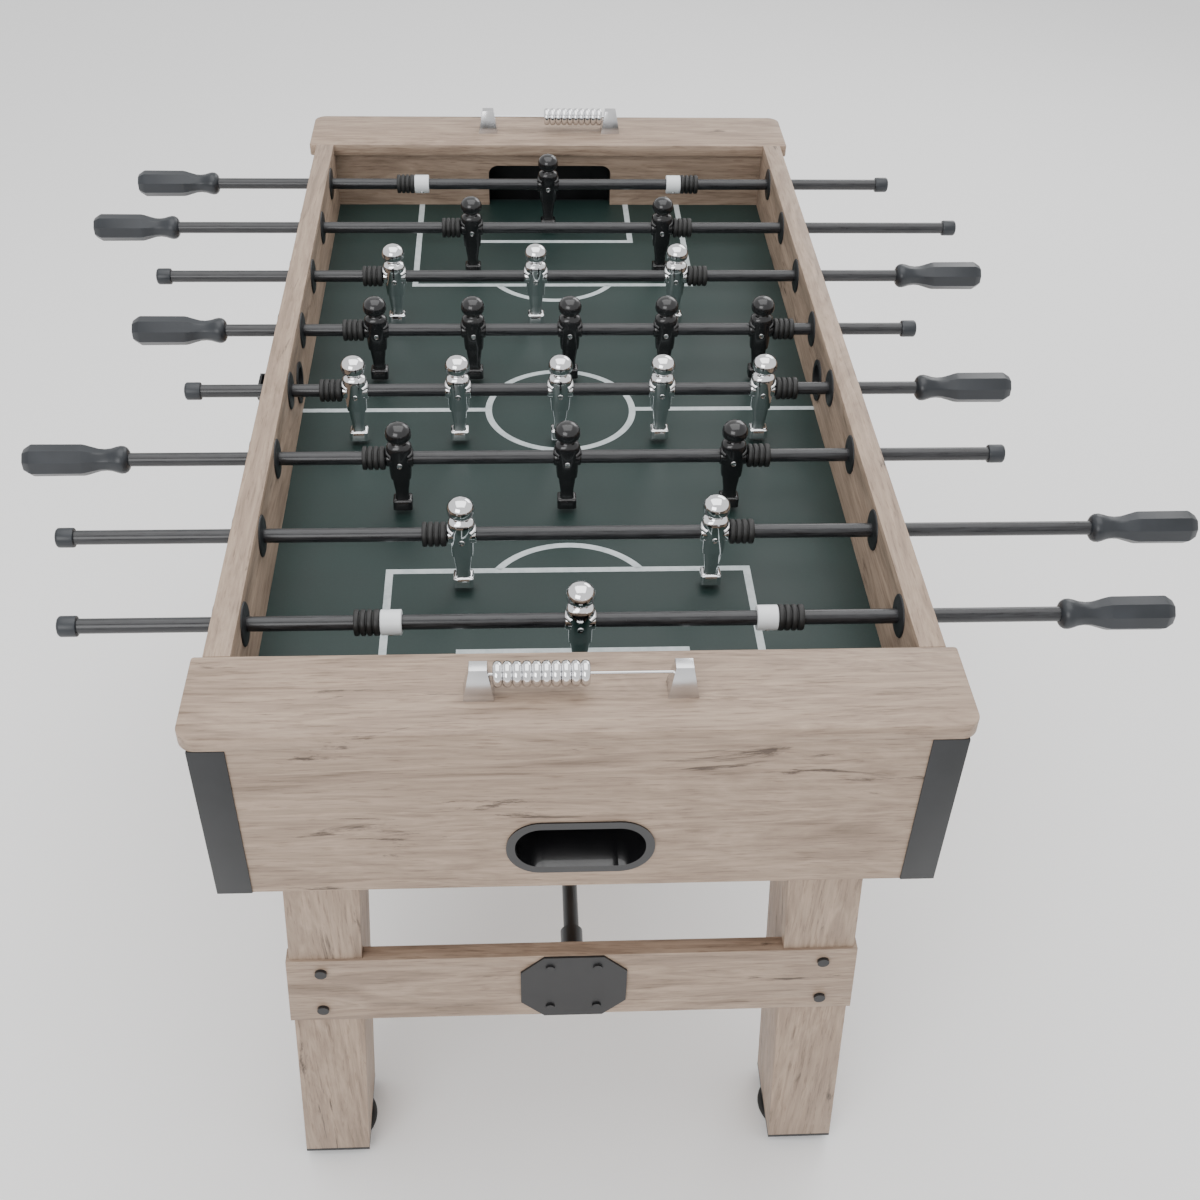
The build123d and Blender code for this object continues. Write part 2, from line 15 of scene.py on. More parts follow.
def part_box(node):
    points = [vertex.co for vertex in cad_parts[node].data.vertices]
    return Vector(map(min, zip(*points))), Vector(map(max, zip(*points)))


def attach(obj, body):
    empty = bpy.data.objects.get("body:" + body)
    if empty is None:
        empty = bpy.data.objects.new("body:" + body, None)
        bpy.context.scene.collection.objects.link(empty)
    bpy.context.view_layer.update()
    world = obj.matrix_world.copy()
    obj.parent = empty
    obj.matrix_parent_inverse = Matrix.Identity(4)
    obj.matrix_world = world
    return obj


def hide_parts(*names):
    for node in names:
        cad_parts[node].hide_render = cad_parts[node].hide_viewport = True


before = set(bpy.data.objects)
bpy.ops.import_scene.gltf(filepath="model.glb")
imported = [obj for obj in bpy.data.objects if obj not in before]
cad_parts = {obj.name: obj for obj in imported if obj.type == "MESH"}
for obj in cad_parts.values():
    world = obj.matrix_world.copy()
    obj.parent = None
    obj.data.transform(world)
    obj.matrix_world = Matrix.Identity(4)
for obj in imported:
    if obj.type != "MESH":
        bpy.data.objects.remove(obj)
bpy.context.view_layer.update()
MM = 0.001
field_low, field_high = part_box("playfield")
table_x = (field_low.x + field_high.x) / 2
field_top = field_high.z
table_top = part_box("end_caps")[1].z
print("playfield", field_low, field_high, "table top", round(table_top, 3))

# %% [markdown]
# ## The camera
# The table is seen from standing height at its near end, looking down along it. The camera is
# placed by its stance (across, back, up), then turned by yaw, pitch and a slight roll. Building
# the turn from three directions is plainer than stacking angles, and it is easy to check.

# %% Camera
STANCE = (-0.0566, -1.7134, 1.8572)     # from the playfield's middle, on the floor, in metres
YAW, PITCH, ROLL = 3.93, 42.04, 1.82    # degrees
LENS = 44.95
SHIFT = (0.0016, 0.0543)


def aim_camera():
    yaw, pitch, roll = (math.radians(a) for a in (YAW, PITCH, ROLL))
    ahead = Vector((math.sin(yaw) * math.cos(pitch), math.cos(yaw) * math.cos(pitch), -math.sin(pitch)))
    across = Vector((math.cos(yaw), -math.sin(yaw), 0))
    upward = across.cross(ahead)
    right = across * math.cos(roll) + upward * math.sin(roll)
    top = upward * math.cos(roll) - across * math.sin(roll)
    turn = Matrix((right, top, -ahead)).transposed().to_4x4()
    data = bpy.data.cameras.new("standing_view")
    data.lens = LENS
    data.sensor_width = 36.0
    data.shift_x, data.shift_y = SHIFT
    camera = bpy.data.objects.new("standing_view", data)
    place = Vector(STANCE) + Vector((table_x, 0, 0))
    camera.matrix_world = Matrix.Translation(place) @ turn
    bpy.context.scene.collection.objects.link(camera)
    bpy.context.scene.camera = camera
    return camera


print("camera at", tuple(round(v, 3) for v in aim_camera().location))

# %% [markdown]
# ## Helpers for finishes
# Every finish is a small node tree over one Principled shader. The helpers add a node, link it and
# read coordinates that stay with the piece, so the grain travels with whatever it is on.

# %% Finish helpers
class Finish:
    """One material: a Principled shader and the texture nodes that feed it."""

    def __init__(self, name, roughness=0.5, metallic=0.0, coat=0.0):
        self.material = bpy.data.materials.new(name)
        self.material.use_nodes = True
        self.nodes = self.material.node_tree.nodes
        self.links = self.material.node_tree.links
        self.shader = self.nodes["Principled BSDF"]
        self.shader.inputs["Roughness"].default_value = roughness
        self.shader.inputs["Metallic"].default_value = metallic
        self.shader.inputs["Coat Weight"].default_value = coat
        self.place = self.nodes.new("ShaderNodeTexCoord").outputs["Object"]

    def stretched(self, scale, shift=(0, 0, 0)):
        node = self.nodes.new("ShaderNodeMapping")
        node.inputs["Scale"].default_value = scale
        node.inputs["Location"].default_value = shift
        self.links.new(self.place, node.inputs["Vector"])
        return node.outputs["Vector"]

    def noise(self, vector, scale, detail=4.0, roughness=0.55, distortion=0.0):
        node = self.nodes.new("ShaderNodeTexNoise")
        node.inputs["Scale"].default_value = scale
        node.inputs["Detail"].default_value = detail
        node.inputs["Roughness"].default_value = roughness
        node.inputs["Distortion"].default_value = distortion
        self.links.new(vector, node.inputs["Vector"])
        return node.outputs["Fac"]

    def ramp(self, factor, *stops):
        node = self.nodes.new("ShaderNodeValToRGB")
        bar = node.color_ramp.elements
        while len(bar) < len(stops):
            bar.new(0.5)
        for element, (where, colour) in zip(bar, stops):
            element.position = where
            element.color = (*colour, 1.0)
        self.links.new(factor, node.inputs["Fac"])
        return node.outputs["Color"]

    def mix(self, factor, a, b, mode="MIX"):
        node = self.nodes.new("ShaderNodeMix")
        node.data_type = "RGBA"
        node.blend_type = mode
        if isinstance(factor, float):
            node.inputs["Factor"].default_value = factor
        else:
            self.links.new(factor, node.inputs["Factor"])
        self.links.new(a, node.inputs["A"])
        self.links.new(b, node.inputs["B"])
        return node.outputs["Result"]

    def spread(self, factor, low, high):
        node = self.nodes.new("ShaderNodeMapRange")
        node.inputs["From Min"].default_value = 0.3
        node.inputs["From Max"].default_value = 0.7
        node.inputs["To Min"].default_value = low
        node.inputs["To Max"].default_value = high
        self.links.new(factor, node.inputs["Value"])
        return node.outputs["Result"]

    def bump(self, factor, depth, strength=0.4):
        node = self.nodes.new("ShaderNodeBump")
        node.inputs["Distance"].default_value = depth
        node.inputs["Strength"].default_value = strength
        self.links.new(factor, node.inputs["Height"])
        self.links.new(node.outputs["Normal"], self.shader.inputs["Normal"])

    def colour(self, socket):
        self.links.new(socket, self.shader.inputs["Base Color"])

    def rough(self, socket):
        self.links.new(socket, self.shader.inputs["Roughness"])


# %% [markdown]
# ## Oak laminate
# The boards are particle board wrapped in a printed, lightly embossed oak foil. Real veneer would
# show end grain at the edges; foil does not, so one grain direction per board is right. The grain
# is noise drawn out along the board: a broad figure, fine fibres, and short dark pores and cracks.

# %% Oak finish
OAK_LIGHT = (0.40, 0.300, 0.228)
OAK_MID = (0.315, 0.232, 0.174)
OAK_DARK = (0.205, 0.145, 0.105)
OAK_CRACK = (0.075, 0.05, 0.036)
GRAIN_STRETCH = 9.0


def drawn_out(along, across, lengthways):
    """Texture scales for an axis: fine across the grain, long with it."""
    return tuple(lengthways if axis == along else across for axis in range(3))


def oak(name, along, shift):
    """Oak foil with its grain along one axis; shift moves the figure so that boards differ."""
    finish = Finish(name, roughness=0.5)
    figure_place = finish.stretched(drawn_out(along, GRAIN_STRETCH, 1.25), shift)
    fibre_place = finish.stretched(drawn_out(along, 60.0, 3.0), shift)
    pore_place = finish.stretched(drawn_out(along, 130.0, 9.0), shift)
    crack_place = finish.stretched(drawn_out(along, 15.0, 2.2), shift)
    figure = finish.noise(figure_place, 2.1, 6.0, 0.6, 1.5)
    fibre = finish.noise(fibre_place, 3.0, 6.0, 0.72, 0.4)
    pores = finish.noise(pore_place, 3.0, 3.0, 0.6)
    crack_map = finish.noise(crack_place, 2.4, 8.0, 0.68, 0.7)
    figured = finish.ramp(
        figure, (0.26, OAK_DARK), (0.38, OAK_MID), (0.47, OAK_LIGHT), (0.55, OAK_MID), (0.63, OAK_LIGHT),
        (0.76, OAK_DARK))
    fibres = finish.ramp(
        fibre, (0.3, (0.62, 0.58, 0.54)), (0.5, (0.92, 0.91, 0.9)), (0.68, (1.1, 1.09, 1.07)))
    pitted = finish.ramp(pores, (0.34, (0.55, 0.5, 0.46)), (0.44, (1.0, 1.0, 1.0)))
    cracks = finish.ramp(crack_map, (0.33, OAK_CRACK), (0.39, (1.0, 1.0, 1.0)))
    grained = finish.mix(0.95, figured, fibres, "MULTIPLY")
    grained = finish.mix(0.6, grained, pitted, "MULTIPLY")
    finish.colour(finish.mix(0.8, grained, cracks, "MULTIPLY"))
    finish.rough(finish.spread(fibre, 0.44, 0.62))
    finish.bump(fibre, 0.0004, 0.4)
    return finish.material


oak_across = oak("oak_grain_across", 0, (0.3, 0.7, 0.1))
oak_lengthwise = oak("oak_grain_lengthwise", 1, (1.7, 0.2, 0.6))
oak_upright = oak("oak_grain_upright", 2, (0.9, 2.1, 0.4))
print("oak finishes:", oak_across.name, oak_lengthwise.name, oak_upright.name)

# %% [markdown]
# ## Black parts, chrome and white
# Black mouldings are never one flat black: the surface has a fine spark texture and handling
# polish. The rods carry a smoother black coat with faint rub marks along them. Chrome is a mirror
# with small changes of roughness, so that its highlights are not perfectly clean.

# %% Plain finishes
def moulded(name, dark, light, roughness, grain, depth, coat=0.0, metallic=0.0):
    finish = Finish(name, roughness=roughness, metallic=metallic, coat=coat)
    cloud = finish.noise(finish.place, 18.0, 3.0)
    spark = finish.noise(finish.place, grain, 3.0, 0.6)
    finish.colour(finish.ramp(cloud, (0.32, dark), (0.68, light)))
    finish.rough(finish.spread(cloud, roughness * 0.86, roughness * 1.14))
    finish.bump(spark, depth, 0.3)
    return finish.material


black_plastic = moulded(
    "black_moulding", (0.011, 0.012, 0.013), (0.019, 0.02, 0.022), 0.42, 900.0, 0.00015)
grip_plastic = moulded(
    "grip_moulding", (0.014, 0.017, 0.021), (0.024, 0.028, 0.034), 0.36, 700.0, 0.00012)
gloss_black = moulded(
    "gloss_black_moulding", (0.006, 0.006, 0.007), (0.011, 0.011, 0.012), 0.16, 300.0, 0.00004, coat=0.4)
black_metal = moulded(
    "black_powder_coat", (0.011, 0.011, 0.012), (0.02, 0.02, 0.021), 0.38, 1200.0, 0.0001)
rubber = moulded(
    "black_rubber", (0.009, 0.009, 0.009), (0.017, 0.017, 0.017), 0.55, 800.0, 0.00015)
white_plastic = moulded(
    "white_moulding", (0.72, 0.75, 0.77), (0.82, 0.84, 0.85), 0.3, 400.0, 0.00005)
black_team = moulded(
    "black_team_moulding", (0.006, 0.006, 0.007), (0.012, 0.012, 0.013), 0.2, 300.0, 0.00005, coat=0.3)
chrome = moulded(
    "bright_chrome", (0.78, 0.79, 0.81), (0.86, 0.86, 0.87), 0.07, 140.0, 0.00003, metallic=1.0)
silver = moulded(
    "silver_plating", (0.60, 0.60, 0.61), (0.72, 0.72, 0.73), 0.22, 500.0, 0.00004, metallic=1.0)


def rod_coat():
    """Smooth black coat with rub marks drawn out along the rod."""
    finish = Finish("rod_black_coat", roughness=0.3, coat=0.2)
    rubs = finish.noise(finish.stretched((4.0, 60.0, 60.0)), 9.0, 6.0, 0.6)
    finish.colour(finish.ramp(rubs, (0.38, (0.010, 0.010, 0.012)), (0.66, (0.03, 0.031, 0.034))))
    finish.rough(finish.spread(rubs, 0.24, 0.4))
    finish.bump(rubs, 0.00008, 0.25)
    return finish.material


def field_sheet():
    """Dark green printed sheet, slightly mottled and satin."""
    finish = Finish("green_field_sheet", roughness=0.5)
    mottle = finish.noise(finish.place, 5.0, 5.0, 0.6)
    speck = finish.noise(finish.place, 420.0, 2.0)
    base = finish.ramp(mottle, (0.3, (0.0085, 0.0235, 0.021)), (0.7, (0.0125, 0.033, 0.029)))
    specks = finish.ramp(speck, (0.4, (0.6, 0.6, 0.6)), (0.6, (1.0, 1.0, 1.0)))
    finish.colour(finish.mix(0.25, base, specks, "MULTIPLY"))
    finish.rough(finish.spread(mottle, 0.42, 0.56))
    finish.bump(speck, 0.00006, 0.2)
    return finish.material


def line_ink():
    finish = Finish("pale_line_ink", roughness=0.5)
    wear = finish.noise(finish.place, 60.0, 5.0, 0.7)
    finish.colour(finish.ramp(wear, (0.3, (0.40, 0.46, 0.47)), (0.6, (0.55, 0.60, 0.61))))
    finish.bump(wear, 0.00004, 0.2)
    return finish.material


rod_black = rod_coat()
green_field = field_sheet()
pale_ink = line_ink()
print("finishes ready:", len(bpy.data.materials))

# %% [markdown]
# ## Dressing the frame's own pieces
# Flat boards and plates already have the right shape. They only take a finish, by material slot.

# %% Dress the frame's nodes
DRESS = {
    "base_panel": oak_lengthwise,
    "end_panels": oak_across, "goal_walls": oak_across, "playfield": green_field,
    "goal_liners": black_plastic, "cross_tube": black_metal, "scorer_wires": chrome,
    "ball_return_cups": gloss_black, "foot_plates": black_metal, "frame_fasteners": black_metal,
    "ball_entry_cups": black_plastic, "tube_mounts": black_metal,
}


def dress(node, material):
    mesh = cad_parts[node].data
    mesh.materials.clear()
    mesh.materials.append(material)


for node, material in DRESS.items():
    dress(node, material)
for number in range(1, 9):
    dress(f"rod_{number}", rod_black)
print("dressed", len(DRESS) + 8, "nodes")

# %% [markdown]
# ## New pieces
# A piece is made from points and faces in the frame's own place, given its finish, and set to ride
# on the body that carries the node it stands for. Shading is smooth except at sharp edges.

# %% Piece helpers
SMOOTH_BELOW = math.radians(38)
FLAT_BELOW = math.radians(0.5)      # facets this close to level are joined into one face
EASE_ABOVE = math.radians(50)       # edges sharper than this are eased


def add_piece(name, shell, material, node, body, stands_for=True):
    """Turns a bmesh into a finished piece that rides on a body and stands for a node."""
    bmesh.ops.remove_doubles(shell, verts=shell.verts, dist=1e-6)
    bmesh.ops.recalc_face_normals(shell, faces=shell.faces)
    for edge in shell.edges:
        edge.smooth = len(edge.link_faces) == 2 and edge.calc_face_angle(0) < SMOOTH_BELOW
    for face in shell.faces:
        face.smooth = True
    mesh = bpy.data.meshes.new(name)
    shell.to_mesh(mesh)
    shell.free()
    mesh.materials.append(material)
    piece = bpy.data.objects.new(name, mesh)
    bpy.context.scene.collection.objects.link(piece)
    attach(piece, body)
    if stands_for:
        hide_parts(node)
    return piece


def lathe_x(shell, centre, profile, sides=40):
    """Turns a profile of (distance along X, radius) about a line along X."""
    rings = []
    for along, radius in profile:
        ring = []
        for step in range(sides):
            angle = math.tau * step / sides
            offset = Vector((along, radius * math.cos(angle), radius * math.sin(angle)))
            ring.append(shell.verts.new(centre + offset))
        rings.append(ring)
    for first, second in zip(rings, rings[1:]):
        for step in range(sides):
            after = (step + 1) % sides
            shell.faces.new((first[step], first[after], second[after], second[step]))
    return rings


def solid_x(shell, centre, profile, sides=40):
    rings = lathe_x(shell, centre, profile, sides)
    shell.faces.new(rings[0])
    shell.faces.new(list(reversed(rings[-1])))


def ring_x(shell, centre, profile, sides=40):
    lathe_x(shell, centre, profile + profile[:1], sides)


def softened(node, material, width, body, segments=2):
    """A copy of a frame board with its sharp edges eased."""
    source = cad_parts[node].data
    shell = bmesh.new()
    shell.from_mesh(source)
    bmesh.ops.remove_doubles(shell, verts=shell.verts, dist=1e-5)
    bmesh.ops.dissolve_limit(shell, angle_limit=FLAT_BELOW, verts=shell.verts, edges=shell.edges)
    sharp = [e for e in shell.edges if len(e.link_faces) == 2 and e.calc_face_angle(0) > EASE_ABOVE]
    bmesh.ops.bevel(
        shell, geom=sharp, offset=width, segments=segments, profile=0.5, affect="EDGES", clamp_overlap=True)
    bmesh.ops.triangulate(shell, faces=[f for f in shell.faces if len(f.verts) > 4])
    return add_piece(f"{node}_eased", shell, material, node, body)


softened("side_panel_left", oak_lengthwise, 0.8 * MM, "cabinet")
softened("side_panel_right", oak_lengthwise, 0.8 * MM, "cabinet")
softened("end_caps", oak_across, 1.6 * MM, "cabinet")
softened("legs", oak_upright, 1.2 * MM, "cabinet")
softened("stretchers", oak_across, 1.2 * MM, "cabinet")
softened("corner_guards", black_plastic, 0.8 * MM, "cabinet")
print("eased the boards and guards")

# %% [markdown]
# ## Markings
# The lines are printed on the sheet. Here they are a thin film a fifth of a millimetre high, cut as
# strips and rings, so they keep a crisp edge from any angle. The middle has only a plain spot.

# %% Field markings
LINE = 8.5 * MM
FILM = 0.2 * MM
CIRCLE = 100.0 * MM
BOX_HALF, BOX_DEPTH = 212 * MM, 278 * MM
AREA_HALF, AREA_DEPTH = 128 * MM, 136 * MM
ARC_HALF, ARC_RISE = 86 * MM, 47 * MM
SPOT_RADIUS = 9 * MM
GOAL_WALL = 16 * MM
goal_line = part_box("goal_walls")[1].y - GOAL_WALL
half_width = (field_high.x - field_low.x) / 2


def film(shell, x0, x1, y0, y1):
    """A thin rectangle of ink on the sheet."""
    low = Vector((table_x + min(x0, x1), min(y0, y1), field_top))
    high = Vector((table_x + max(x0, x1), max(y0, y1), field_top + FILM))
    size = high - low
    turn = Matrix.Translation((low + high) / 2) @ Matrix.Diagonal((*size, 1))
    bmesh.ops.create_cube(shell, size=1.0, matrix=turn)


def film_arc(shell, centre_y, radius, start, end, steps):
    """A curved band of ink, LINE wide, with radius as its outer edge."""
    rows = []
    for step in range(steps + 1):
        angle = start + (end - start) * step / steps
        way = Vector((math.cos(angle), math.sin(angle), 0))
        row = []
        for reach, z in ((radius, 0), (radius, FILM), (radius - LINE, FILM), (radius - LINE, 0)):
            row.append(shell.verts.new(Vector((table_x, centre_y, field_top + z)) + way * reach))
        rows.append(row)
    for first, second in zip(rows, rows[1:]):
        for side in range(4):
            after = (side + 1) % 4
            shell.faces.new((first[side], first[after], second[after], second[side]))
    if abs(end - start) < math.tau - 0.01:
        shell.faces.new(rows[0])
        shell.faces.new(list(reversed(rows[-1])))


def markings():
    ink = bmesh.new()
    film_arc(ink, 0, CIRCLE, 0, math.tau, 96)
    film(ink, -half_width, -CIRCLE, -LINE / 2, LINE / 2)
    film(ink, CIRCLE, half_width, -LINE / 2, LINE / 2)
    for end in (-1, 1):
        for half, depth in ((BOX_HALF, BOX_DEPTH), (AREA_HALF, AREA_DEPTH)):
            front = end * (goal_line - depth)
            film(ink, -half, half, front, front + end * LINE)
            for side in (-1, 1):
                film(ink, side * half, side * (half - LINE), front + end * LINE, end * goal_line)
        chord = end * (goal_line - BOX_DEPTH)
        radius = (ARC_HALF ** 2 + ARC_RISE ** 2) / (2 * ARC_RISE)
        spread = math.asin(ARC_HALF / radius)
        facing = -end * math.pi / 2
        film_arc(ink, chord + end * (radius - ARC_RISE), radius, facing - spread, facing + spread, 40)
    spot = Matrix.Translation((table_x, 0, field_top + FILM / 2))
    bmesh.ops.create_cone(
        ink, cap_ends=True, segments=48, radius1=SPOT_RADIUS, radius2=SPOT_RADIUS, depth=FILM, matrix=spot)
    return ink


add_piece("field_markings", markings(), pale_ink, None, "cabinet", stands_for=False)
print("goal line at", round(goal_line, 3))

# %% [markdown]
# ## Bearings
# Each rod runs in a flanged nylon bush pushed into the panel from both sides. A turned ring with a
# rounded rim and a raised lip round the rod is closer than a plain disc, and cheap to make.

# %% Bearings
SIDE_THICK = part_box("side_panel_right")[1].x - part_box("side_panel_right")[0].x
rod_line = [(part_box(f"rod_{n}")[0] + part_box(f"rod_{n}")[1]) / 2 for n in range(1, 9)]
ROD_RADIUS = (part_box("rod_1")[1].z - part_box("rod_1")[0].z) / 2
BORE = ROD_RADIUS + 0.08 * MM
FLANGE = 23.5 * MM
SLEEVE = 13.5 * MM


def bearing_profile(side):
    """A closed outline of (along, radius) for one bush, from inside the table outwards."""
    inner = side * half_width
    outer = side * (half_width + SIDE_THICK)
    inside = [(3.0, BORE), (3.0, 12 * MM), (2.2, SLEEVE), (2.2, 21 * MM), (1.4, 22.9 * MM), (0.6, FLANGE)]
    outside = [(0.8, FLANGE), (2.4, 21.5 * MM), (3.0, 12 * MM), (3.0, BORE)]
    profile = [(inner - side * proud * MM, radius) for proud, radius in inside]
    profile += [(inner, FLANGE), (inner, SLEEVE), (outer, SLEEVE), (outer, FLANGE)]
    return profile + [(outer + side * proud * MM, radius) for proud, radius in outside]


bushes = bmesh.new()
for middle in rod_line:
    for side in (-1, 1):
        ring_x(bushes, Vector((table_x, middle.y, middle.z)), bearing_profile(side), 48)
add_piece("nylon_bushes", bushes, black_plastic, "rod_bearings", "cabinet")
print("bearings:", 2 * len(rod_line), "bore", round(BORE / MM, 2), "mm")

# %% [markdown]
# ## Players
# A player is one moulding: a square foot for the ball, a slim leg, a waist, a barrel chest with a
# boss each side for the rod, and a flat round head. It could be sculpted, but a stack of rounded
# outlines from sole to crown gives the same smooth casting and stays exact. Each outline has a
# height above the rod, half a width, half a depth, and a squareness: 2 is an ellipse, 8 a block.

# %% Player shape
OUTLINES = [
    (-70.0, 11.0, 9.3, 8), (-69.2, 11.7, 10.0, 8), (-58.0, 11.5, 9.8, 8), (-57.0, 10.8, 9.0, 7),
    (-56.2, 8.6, 6.8, 5), (-51.0, 7.8, 5.8, 3.4), (-44.0, 8.4, 6.2, 3), (-36.0, 9.6, 6.8, 3),
    (-30.0, 10.2, 7.0, 3.2), (-27.5, 10.4, 7.2, 3.4), (-26.6, 12.2, 8.8, 3), (-20.0, 13.0, 9.8, 2.7),
    (-12.0, 13.4, 11.4, 2.4), (-3.0, 13.8, 12.4, 2.3), (6.0, 14.6, 12.6, 2.3), (13.0, 15.2, 12.4, 2.4),
    (17.5, 14.8, 11.8, 2.4), (20.5, 12.4, 10.2, 2.2), (22.0, 9.4, 8.6, 2), (23.6, 8.6, 8.2, 2),
    (25.2, 9.2, 8.8, 2), (26.2, 12.4, 12.2, 2), (28.5, 14.6, 14.4, 2), (31.5, 15.4, 15.2, 2),
    (35.0, 15.5, 15.3, 2), (38.5, 14.7, 14.5, 2), (42.5, 12.4, 12.2, 2), (45.4, 8.4, 8.3, 2),
    (46.8, 4.0, 4.0, 2),
]
AROUND = 36
BOSS = [(10.5, 10.4), (14.4, 10.4), (15.6, 9.9), (16.3, 8.9), (16.3, 8.2)]
SCREW_RADIUS = 3.8
SCREW_HEIGHT = 1.6 * MM
SCREW_SIDES = 24


def outline_point(angle, wide, deep, square):
    """A point on a rounded outline; square sets how full its corners are."""
    c, s = math.cos(angle), math.sin(angle)
    x = math.copysign(abs(c) ** (2 / square), c) * wide
    y = math.copysign(abs(s) ** (2 / square), s) * deep
    return x, y


def add_body(shell, centre):
    rings = []
    for height, wide, deep, square in OUTLINES:
        ring = []
        for step in range(AROUND):
            x, y = outline_point(math.tau * (step + 0.5) / AROUND, wide, deep, square)
            ring.append(shell.verts.new(centre + Vector((x, y, height)) * MM))
        rings.append(ring)
    for first, second in zip(rings, rings[1:]):
        for step in range(AROUND):
            after = (step + 1) % AROUND
            shell.faces.new((first[step], first[after], second[after], second[step]))
    shell.faces.new(list(reversed(rings[0])))
    shell.faces.new(rings[-1])


def add_limb(shell, points, radius):
    """A short round limb through three points."""
    sides = 12
    rings = []
    for index, point in enumerate(points):
        before = points[max(index - 1, 0)]
        after = points[min(index + 1, len(points) - 1)]
        turn = (after - before).to_track_quat("Z", "Y")
        size = radius * (0.72 if index in (0, len(points) - 1) else 1.0)
        ring = []
        for step in range(sides):
            angle = math.tau * step / sides
            offset = Vector((math.cos(angle) * size, math.sin(angle) * size, 0))
            ring.append(shell.verts.new(point + turn @ offset))
        rings.append(ring)
    for first, second in zip(rings, rings[1:]):
        for step in range(sides):
            after = (step + 1) % sides
            shell.faces.new((first[step], first[after], second[after], second[step]))
    shell.faces.new(rings[0])
    shell.faces.new(list(reversed(rings[-1])))


def add_screw(shell, centre, facing, radius):
    """A screw head: a low tapered disc with a sunken middle."""
    turn = Matrix.Translation(centre) @ Vector(facing).to_track_quat("Z", "Y").to_matrix().to_4x4()
    made = bmesh.ops.create_cone(
        shell, cap_ends=True, segments=SCREW_SIDES, radius1=radius, radius2=radius * 0.78,
        depth=SCREW_HEIGHT, matrix=turn)
    cap = [f for v in made["verts"] for f in v.link_faces if len(f.verts) == SCREW_SIDES]
    front = max(cap, key=lambda f: f.calc_center_median().dot(Vector(facing)))
    bmesh.ops.inset_region(shell, faces=[front], thickness=radius * 0.38, depth=-0.5 * MM)


def add_player(shell, centre):
    add_body(shell, centre)
    for side in (-1, 1):
        profile = [(side * a * MM, r * MM) for a, r in BOSS]
        profile = [(side * 8.0 * MM, 10.4 * MM)] + profile
        solid_x(shell, centre, profile, 32)
        shoulder = centre + Vector((side * 13.0, 1.0, 14.5)) * MM
        elbow = centre + Vector((side * 14.2, -5.5, 8.0)) * MM
        hand = centre + Vector((side * 9.5, -11.0, 7.0)) * MM
        add_limb(shell, [shoulder, (shoulder + elbow) / 2, elbow, hand], 3.0 * MM)


# %% [markdown]
# ## Players on their rods
# The frame already says where each player stands: every solid in a rod's row of men is one of
# them. Reading the places from it, not listing them again, keeps the two models in line.

# %% Players on their rods
def islands(node):
    """The middle of each separate solid in a frame node, along X."""
    shell = bmesh.new()
    shell.from_mesh(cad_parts[node].data)
    bmesh.ops.remove_doubles(shell, verts=shell.verts, dist=1e-5)
    waiting = set(shell.verts)
    spans = []
    while waiting:
        todo = [waiting.pop()]
        low = high = todo[0].co.x
        while todo:
            vert = todo.pop()
            low, high = min(low, vert.co.x), max(high, vert.co.x)
            for edge in vert.link_edges:
                other = edge.other_vert(vert)
                if other in waiting:
                    waiting.remove(other)
                    todo.append(other)
        spans.append((low, high))
    shell.free()
    return sorted(spans)


SILVER_RODS = (1, 2, 4, 6)
for number in range(1, 9):
    body = f"player_rod_{number}"
    shiny = number in SILVER_RODS
    line = rod_line[number - 1]
    squad, screws = bmesh.new(), bmesh.new()
    spots = [(low + high) / 2 for low, high in islands(f"men_{number}")]
    for x in spots:
        centre = Vector((x, line.y, line.z))
        add_player(squad, centre)
        add_screw(screws, centre + Vector((0, -12.6, -4.0)) * MM, (0, -1, 0), SCREW_RADIUS * MM)
    finish = chrome if shiny else black_team
    add_piece(f"players_{number}", squad, finish, f"men_{number}", body)
    add_piece(f"player_screws_{number}", screws, silver, None, body, stands_for=False)
    print("rod", number, "carries", len(spots), "players")

# %% [markdown]
# ## Bumpers and stop collars
# A bumper is a rubber tube with four fat ribs. Its outline is a row of half rounds with narrow
# valleys between, turned about the rod. A keeper also has a white collar each side, held by a
# screw, which keeps him in front of his goal.

# %% Bumpers and collars
RIBS = 4
RIB_RADIUS, VALLEY_RADIUS = 14.0 * MM, 11.6 * MM
# One rib and the valley after it: how far along its pitch, and how far up from valley to rib.
RIB_SHAPE = [
    (0.06, 0.6), (0.12, 0.85), (0.25, 1.0), (0.62, 1.0),
    (0.76, 0.85), (0.82, 0.6), (0.86, 0.0), (0.99, 0.0),
]
COLLAR_RADIUS, COLLAR_RIM = 13.5 * MM, 0.8 * MM
COLLAR_SCREW_RADIUS = 3.4 * MM
COLLAR_SCREW_REACH = 9.2 * MM       # toward the viewer and down, from the rod's axis


def bumper_profile(low, high):
    profile = [(low, BORE)]
    pitch = (high - low) / RIBS
    for rib in range(RIBS):
        start = low + rib * pitch
        for share, radius in RIB_SHAPE:
            if rib == RIBS - 1:
                share = share * 1.16 if share < 0.85 else 1.0
            profile.append((start + share * pitch, VALLEY_RADIUS + (RIB_RADIUS - VALLEY_RADIUS) * radius))
    profile.append((high, BORE))
    return profile


def collar_profile(low, high):
    shoulder = COLLAR_RADIUS - COLLAR_RIM
    profile = [(low, BORE), (low, shoulder), (low + COLLAR_RIM, COLLAR_RADIUS)]
    return profile + [(high - COLLAR_RIM, COLLAR_RADIUS), (high, shoulder), (high, BORE)]


